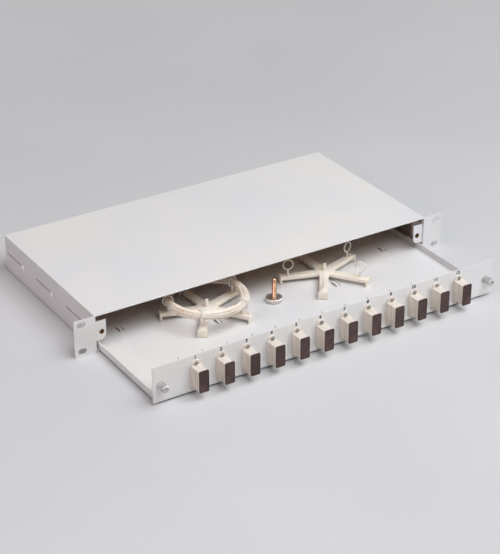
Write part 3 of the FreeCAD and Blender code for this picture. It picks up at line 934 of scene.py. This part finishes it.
# %% Row of adapters
adapter_boxes = [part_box(f"adapter_{number:02d}") for number in range(1, 13)]
adapter_places = [(low + high) / 2 for low, high in adapter_boxes]
to_rear = Vector((0, adapter_front + adapter_rear, 0))
half_turn = (0, 0, math.pi)
for number, place in enumerate(adapter_places, start=1):
    tag = f"{number:02d}"
    axis = Vector((place.x, 0, place.z))
    body = copied(first_adapter, "duplex_adapter_" + tag, axis)
    settle(body, "drawer", "adapter_plastic", adapter_plastic, "adapter_" + tag)
    cap = copied(front_cap, "front_dust_cap_" + tag, axis)
    settle(cap, "drawer", "cap_plastic", cap_plastic, "front_cap_" + tag)
    cap = copied(rear_cap, "rear_dust_cap_" + tag, axis + to_rear, half_turn)
    settle(cap, "drawer", "cap_plastic", cap_plastic, "rear_cap_" + tag)
for model in (first_adapter, front_cap, rear_cap):
    bpy.data.objects.remove(model)
print("set", len(adapter_places), "adapters with their caps")

# %% [markdown]
# ## Screws
# Small slotted screws hold the adapter flanges, and three larger ones with a cross hold the cover at the
# rear. A bare disc would pass for a head from afar, but a screw shows its recess and its rounded rim. So
# the recess is cut with a block, and the shank with its tapered tip is drawn out of the back. Screws are
# never tightened to the same angle, so each copy is turned differently.

# %% One screw
tip, tip_taper = 0.4 * mm, 0.7


def screw(name, radius, height, shank_radius, shank, slots):
    """Pan-head screw along Y, its head in front of the origin, with the given number of slots."""
    piece = drum(name, (0, -height / 2, 0), radius, height, 24, along_y=True)
    round_edges(piece, height * 0.4, 3, lambda a, b: max(a.y, b.y) < -height * 0.9)
    pick_faces(piece, lambda middle, normal: normal.y > facing)
    inset(radius - shank_radius)
    pull((0, shank - tip, 0))
    pull((0, tip, 0))
    resize((tip_taper, 1, tip_taper), (0, shank, 0))
    reach = radius * (1.5 if slots == 1 else 0.62)
    half = radius * 0.15
    above = Vector((0, -height * 1.5, 0))
    for index in range(slots):
        across = Vector((reach, height, half)) if index == 0 else Vector((half, height, reach))
        combine(piece, "DIFFERENCE", block("slot", above - across, above + across))
    return smooth(piece, 30)


def joined(name, pieces):
    """Several shapes as one piece."""
    only(*pieces)
    bpy.ops.object.join()
    return at_origin(name)


# %% Adapter screws
dice = random.Random(3)
screw_offset = 14.6 * mm
small = screw("small_screw", radius=2.1 * mm, height=1.3 * mm, shank_radius=1.1 * mm, shank=5.6 * mm, slots=1)
small_screws = []
for place in adapter_places:
    for level in (-1, 1):
        seat = Vector((place.x, panel_front - flange_depth, place.z + level * screw_offset))
        small_screws.append(copied(small, "small_screw", seat, (0, dice.uniform(0, math.pi), 0)))
bpy.data.objects.remove(small)
settle(joined("adapter_screw_set", small_screws), "drawer", "zinc_steel", zinc, "adapter_screws")
print("set", len(small_screws), "small screws")

# %% Cover screws
low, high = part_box("cover_screws")
head_radius, head_height = 2.8 * mm, 1.8 * mm
large = screw("large_screw", head_radius, head_height, shank_radius=1.45 * mm, shank=6 * mm, slots=2)
large_screws = []
for x in (low.x + head_radius, 0, high.x - head_radius):
    seat = Vector((x, high.y - head_height, (low.z + high.z) / 2))
    large_screws.append(copied(large, "large_screw", seat, (0, dice.uniform(0, math.pi), math.pi)))
bpy.data.objects.remove(large)
settle(joined("cover_screw_set", large_screws), "housing", "zinc_steel", zinc, "cover_screws")
print("set", len(large_screws), "large screws")

# %% [markdown]
# ## Thumbscrews and the clamp nut
# Both are turned by hand, so their rims are knurled. A knurl could be a bump, but it shows on the outline.
# It is made from a disc with many sides whose every second edge is drawn in. The drawn-in edges are picked
# by their angle round the axis.


# %% Knurling
def every_second(angle, sides):
    """Whether an angle belongs to every second corner of a many-sided disc."""
    return round(angle / (2 * math.pi / sides)) % 2 == 0


# %% Thumbscrews
knob_sides, knob_radius, knob_length = 72, 4.2 * mm, 9.9 * mm
knurl, chamfer_taper = 0.94, 0.84
knob_chamfer = 0.6 * mm
dish_wall, dish_depth = 0.5 * mm, 0.5 * mm
shaft_shoulder, shaft_length = 2.0 * mm, 13.5 * mm
knob_reach = knob_length + knob_chamfer


def thumbscrew():
    """Knurled knob with a dished face and a plain shaft, along Y, its seat at the origin."""
    centre = (0, -knob_length / 2, 0)
    piece = drum("thumbscrew", centre, knob_radius, knob_length, knob_sides, along_y=True)
    pick_edges(piece, lambda a, b: abs(a.y - b.y) > 5 * mm and every_second(math.atan2(a.z, a.x), knob_sides))
    resize((knurl, 1, knurl), centre)
    pick_faces(piece, lambda middle, normal: normal.y < -facing)
    pull((0, -knob_chamfer, 0))
    resize((chamfer_taper, 1, chamfer_taper), (0, -knob_reach, 0))
    inset(dish_wall)
    pull((0, dish_depth, 0))
    pick_faces(piece, lambda middle, normal: normal.y > facing and middle.y > -0.1 * mm)
    inset(shaft_shoulder)
    pull((0, shaft_length, 0))
    slot = block("slot", (-6 * mm, -11 * mm, -0.5 * mm), (6 * mm, -9.2 * mm, 0.5 * mm))
    return smooth(combine(piece, "DIFFERENCE", slot), 25)


first_thumbscrew = thumbscrew()
for side in ("left", "right"):
    low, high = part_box("thumbscrew_" + side)
    seat = Vector(((low.x + high.x) / 2, low.y + knob_reach, (low.z + high.z) / 2))
    knob = copied(first_thumbscrew, "knurled_thumbscrew_" + side, seat)
    settle(knob, "thumbscrew_" + side, "nickel_plate", nickel, "thumbscrew_" + side)
bpy.data.objects.remove(first_thumbscrew)
print("set two thumbscrews,", len(knob.data.polygons), "faces each")

# %% Clamp nut
nut_sides = 44
nut_knurl, nut_taper = 0.935, 0.94
nut_chamfer = 0.4 * mm
nut_wall, nut_dish = 0.9 * mm, 0.35 * mm


def clamp_nut():
    """Knurled nut with chamfered edges, a dished top and a bore for the stud."""
    low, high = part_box("knurled_nut")
    middle = (low + high) / 2
    height = high.z - low.z
    piece = drum("knurled_clamp_nut", middle, (high.x - low.x) / 2, height - 2 * nut_chamfer, nut_sides)
    pick_edges(piece, lambda a, b: abs(a.z - b.z) > 2 * mm
               and every_second(math.atan2(a.y - middle.y, a.x - middle.x), nut_sides))
    resize((nut_knurl, nut_knurl, 1), middle)
    for level in (-1, 1):
        pick_faces(piece, lambda spot, normal: normal.z * level > facing)
        pull((0, 0, level * nut_chamfer))
        resize((nut_taper, nut_taper, 1), middle)
        inset(nut_wall)
        pull((0, 0, -level * nut_dish))
    combine(piece, "DIFFERENCE", drum("bore", middle, 3.3 * mm, 4 * height, sides=32))
    return smooth(piece, 25)


nut = settle(clamp_nut(), "clamp_nut", "chrome", chrome, "knurled_nut")
print("clamp nut", len(nut.data.polygons), "faces")

# %% [markdown]
# ## Clamp stud
# The stud is a copper-plated screw pressed into the tray. Its thread could be a stack of rings, but a real
# one winds, and that shows at the tip. So a screw modifier sweeps a small triangle up the axis, one pitch
# to a turn, and the ridge is joined to a plain shaft with a rounded tip.

# %% Clamp stud
shaft_radius = 2.35 * mm
thread_start = 2.5 * mm


def thread():
    """A ridge wound up the Z axis from the origin."""
    select_none()
    bpy.ops.mesh.primitive_circle_add(vertices=3, radius=0.42 * mm, rotation=(math.radians(90), 0, 0))
    ridge = at_origin("thread")
    ridge.data.transform(Matrix.Translation((shaft_radius, 0, 0)))
    sweep = ridge.modifiers.new("sweep", "SCREW")
    sweep.axis = "Z"
    sweep.screw_offset = 0.9 * mm
    sweep.iterations = 24
    sweep.steps = 24
    sweep.render_steps = 24
    apply_all(ridge)
    pick_faces(ridge, lambda middle, normal: True)
    bpy.ops.mesh.remove_doubles(threshold=0.001 * mm)
    bpy.ops.mesh.fill_holes(sides=3)
    bpy.ops.mesh.normals_make_consistent(inside=False)
    return ridge


def clamp_stud():
    """Shaft with a rounded tip and a wound thread."""
    low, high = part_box("clamp_stud")
    shaft = drum("threaded_stud", (low + high) / 2, shaft_radius, high.z - low.z, 32)
    round_edges(shaft, 1.1 * mm, 4, lambda a, b: min(a.z, b.z) > high.z - hair)
    ridge = thread()
    foot = Vector(((low.x + high.x) / 2, (low.y + high.y) / 2, low.z + thread_start))
    wound = copied(ridge, "thread_in_place", foot)
    bpy.data.objects.remove(ridge)
    return smooth(joined("threaded_stud", [wound, shaft]), 30)


stud = settle(clamp_stud(), "drawer", "copper_plate", copper, "clamp_stud")
print("stud", len(stud.data.polygons), "faces")

# %% [markdown]
# ## Fibre spools
# A spool is one milky moulding: a hub on a column, five flat arms with a rib below and a foot at the end,
# and on each arm a ring on a short stem that the fibre runs through. It could be remeshed into one soft
# skin, but that would blur the flat arms. So one arm is modelled with rounded edges, turned about the hub
# five times, and joined by booleans.

# %% Spool arm
arm_top, arm_depth = -9.6 * mm, 4.2 * mm
arm_root, arm_reach = 8 * mm, 53 * mm
arm_half, arm_taper = 5.5 * mm, 9 / 11
rib_half = 0.9 * mm
wire_stretch = 1.3


def fibre_ring():
    """Upright ring whose wire is a little deeper along the fibre than it is thick."""
    select_none()
    bpy.ops.mesh.primitive_torus_add(
        location=(ring_place, 0, ring_height), rotation=(math.radians(90), 0, 0),
        major_segments=40, minor_segments=12, major_radius=5.85 * mm, minor_radius=0.75 * mm,
    )
    bpy.context.object.scale = (1, 1, wire_stretch)
    return at_origin("ring")


def spool_arm():
    """One arm along +X with its rib, foot, stem and ring."""
    end = arm_reach - 1.5 * mm
    arm = block("spool_arm", (arm_root, -arm_half, arm_top - arm_depth), (end, arm_half, arm_top))
    pick_faces(arm, lambda middle, normal: normal.x > facing)
    resize((1, arm_taper, 1), (end, 0, arm_top))
    round_edges(arm, 1.5 * mm, 4, lambda a, b: min(a.z, b.z) > arm_top - hair and abs(a.x - b.x) > 10 * mm)
    rib = block("rib", (arm_root, -rib_half, arm_top - 5 * mm), (end, rib_half, arm_top - 3 * mm))
    foot_top = arm_top + 0.4 * mm
    foot = block("foot", (arm_reach - 2 * mm, -arm_half, tray_floor), (arm_reach, arm_half, foot_top))
    round_edges(foot, 1.2 * mm, 3, lambda a, b: min(a.z, b.z) > arm_top and abs(a.x - b.x) > 1 * mm)
    round_edges(foot, 0.35 * mm, 2, lambda a, b: min(a.x, b.x) > arm_reach - hair)
    stem_middle = (ring_place, 0, (arm_top + ring_height - 5.8 * mm) / 2)
    stem = drum("stem", stem_middle, radius=1.1 * mm, length=8 * mm, sides=16)
    return combine(arm, "UNION", rib, foot, stem, fibre_ring())


# %% Spools
hub_drop = 1.2 * mm
pin_length, pin_rise = 10 * mm, 4 * mm


def fibre_spool():
    """Hub, column and pin with five arms, round the origin."""
    spool = drum("fibre_spool", (0, 0, arm_top - hub_drop), radius=11.5 * mm, length=3.4 * mm, sides=40)
    round_edges(spool, 0.6 * mm, 3, lambda a, b: min(a.z, b.z) > arm_top)
    column_length = arm_top - hub_drop - tray_floor
    column = drum("column", (0, 0, tray_floor + column_length / 2), 6 * mm, column_length, sides=32)
    pin = drum("pin", (0, 0, arm_top + pin_rise), 2 * mm, pin_length, sides=24)
    round_edges(pin, 1.2 * mm, 4, lambda a, b: min(a.z, b.z) > arm_top + pin_rise + pin_length / 2 - 0.1 * mm)
    arm = spool_arm()
    arms = [copied(arm, "arm", (0, 0, 0), (0, 0, math.radians(90 + 72 * index))) for index in range(5)]
    bpy.data.objects.remove(arm)
    combine(spool, "UNION", column, pin, *arms)
    return smooth(spool, 30)


first_spool = fibre_spool()
for side, place in spool_places.items():
    spool = copied(first_spool, "moulded_spool_" + side, place)
    settle(spool, "drawer", "spool_plastic", spool_plastic, "fibre_spool_" + side)
bpy.data.objects.remove(first_spool)
print("set two spools,", len(spool.data.polygons), "faces each")

# %% [markdown]
# ## Cable entries
# Two rubber rings line the cable entries in the rear wall, so that the sheet can't cut the cable. A torus
# would be too round, because a grommet has flat sides. So each is a thick disc with a bore and
# well-rounded lips.


# %% Grommets
def grommet(side):
    """Rubber ring in a cable entry."""
    low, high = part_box("cable_grommet_" + side)
    middle = (low + high) / 2
    depth = high.y - low.y
    ring = drum("rubber_grommet_" + side, middle, (high.z - low.z) / 2, depth, sides=48, along_y=True)
    combine(ring, "DIFFERENCE", drum("bore", middle, 7 * mm, 2 * depth, sides=48, along_y=True))

    def on_lip(point):
        return abs(abs(point.y - middle.y) - depth / 2) < hair

    def from_axis(point):
        return (point.xz - middle.xz).length

    round_edges(ring, 1.4 * mm, 4, lambda a, b: on_lip(a) and abs(a.y - b.y) < hair
                and (a - b).length < 3 * mm and abs(from_axis(a) - from_axis(b)) < 0.1 * mm)
    return smooth(ring, 40)


for side in ("left", "right"):
    ring = settle(grommet(side), "housing", "grommet_rubber", rubber, "cable_grommet_" + side)
print("set two grommets,", len(ring.data.polygons), "faces each")

# %% [markdown]
# ## Port numbers
# Each adapter has a printed number above it. It could be a pattern in the coat, but a thin mesh has
# sharper edges. So a text object is turned upright, made a mesh and laid a few hundredths of a millimetre
# in front of the panel, like a layer of printing ink.

# %% Port numbers
digit_height, ink_gap = 19.4 * mm, 0.03 * mm
upright = (math.radians(90), 0, 0)
digits = []
for number, place in enumerate(adapter_places, start=1):
    select_none()
    bpy.ops.object.text_add(location=(place.x, panel_front - ink_gap, digit_height), rotation=upright)
    digit = bpy.context.object
    digit.data.body = str(number)
    digit.data.align_x = "CENTER"
    digit.data.align_y = "CENTER"
    digit.data.size = 5.6 * mm
    digit.data.offset = 0.26 * mm
    digit.data.extrude = 0.02 * mm
    digit.data.resolution_u = 4
    bpy.ops.object.convert(target="MESH")
    digits.append(at_origin("digit"))
settle(joined("port_numbers", digits), "drawer", "cap_plastic", ink)
print("printed", len(digits), "numbers")

# %% [markdown]
# ## Floor
# The panel lies on a plain pale sheet of paper, a little greyer than the coat, and its shadow shows where
# it stands. Far from the lamp the paper would turn dark, and so would the world behind it. More lamps
# would change the light on the panel, so the far paper and the world glow a little instead, and only for
# the camera and in mirror images.


# %% Paper
def paper():
    """Pale matt sheet with a faint grain."""
    material, shader, where = new_finish("studio_paper")
    clouds = tint(grain(where, scale=3), shade(202, 203, 206), shade(206, 206, 208))
    link(clouds, shader.inputs["Base Color"])
    rough(shader, grain(where, scale=300), low=0.8, high=0.9)
    raise_bump(shader, grain(where, scale=900), depth=0.05 * mm, strength=0.15)
    return material


# %% Pale backdrop
def seen(tree):
    """One for what the camera sees, straight or mirrored, and zero for the light on the panel."""
    ray = tree.nodes.new("ShaderNodeLightPath").outputs
    straight_or_mirrored = arithmetic("MAXIMUM", ray["Is Camera Ray"], ray["Is Glossy Ray"])
    return arithmetic("MAXIMUM", straight_or_mirrored, ray["Is Transmission Ray"])


def pale_backdrop(tree):
    """Shows a pale world behind the paper, where the light of the world stays dim."""
    backdrop = tree.nodes.new("ShaderNodeBackground")
    backdrop.inputs["Color"].default_value = shade(216, 216, 219)
    mix = tree.nodes.new("ShaderNodeMixShader")
    link(seen(tree), mix.inputs["Fac"])
    link(sky.outputs["Background"], mix.inputs[1])
    link(backdrop.outputs["Background"], mix.inputs[2])
    link(mix.outputs["Shader"], tree.nodes["World Output"].inputs["Surface"])


pale_backdrop(world.node_tree)
print("world seen pale")

# %% Floor
lamp_foot = (0.3, -0.5, 0)
glow_from, glow_to, glow_most = 0.6, 3.6, 0.55
floor_gap = 0.1 * mm


def pale_distance(material):
    """Keeps the far paper as pale for the camera as the near paper, without more light on the panel."""
    tree = material.node_tree
    distance = tree.nodes.new("ShaderNodeVectorMath")
    distance.operation = "DISTANCE"
    link(tree.nodes["Texture Coordinate"].outputs["Object"], distance.inputs[0])
    distance.inputs[1].default_value = lamp_foot
    fade = ranged(distance.outputs["Value"], (glow_from, glow_to), (0.0, glow_most))
    fade.interpolation_type = "SMOOTHSTEP"
    glow = arithmetic("MULTIPLY", seen(tree), fade.outputs["Result"])
    shader = shader_of(material)
    shader.inputs["Emission Color"].default_value = shade(252, 252, 255)
    link(glow, shader.inputs["Emission Strength"])
    return material


select_none()
bpy.ops.mesh.primitive_plane_add(size=9, location=(0, 0, cad_box[0][2] - floor_gap))
floor = at_origin("studio_floor")
floor.data.materials.append(pale_distance(paper()))
print("floor at", round(cad_box[0][2] / mm, 2), "mm")
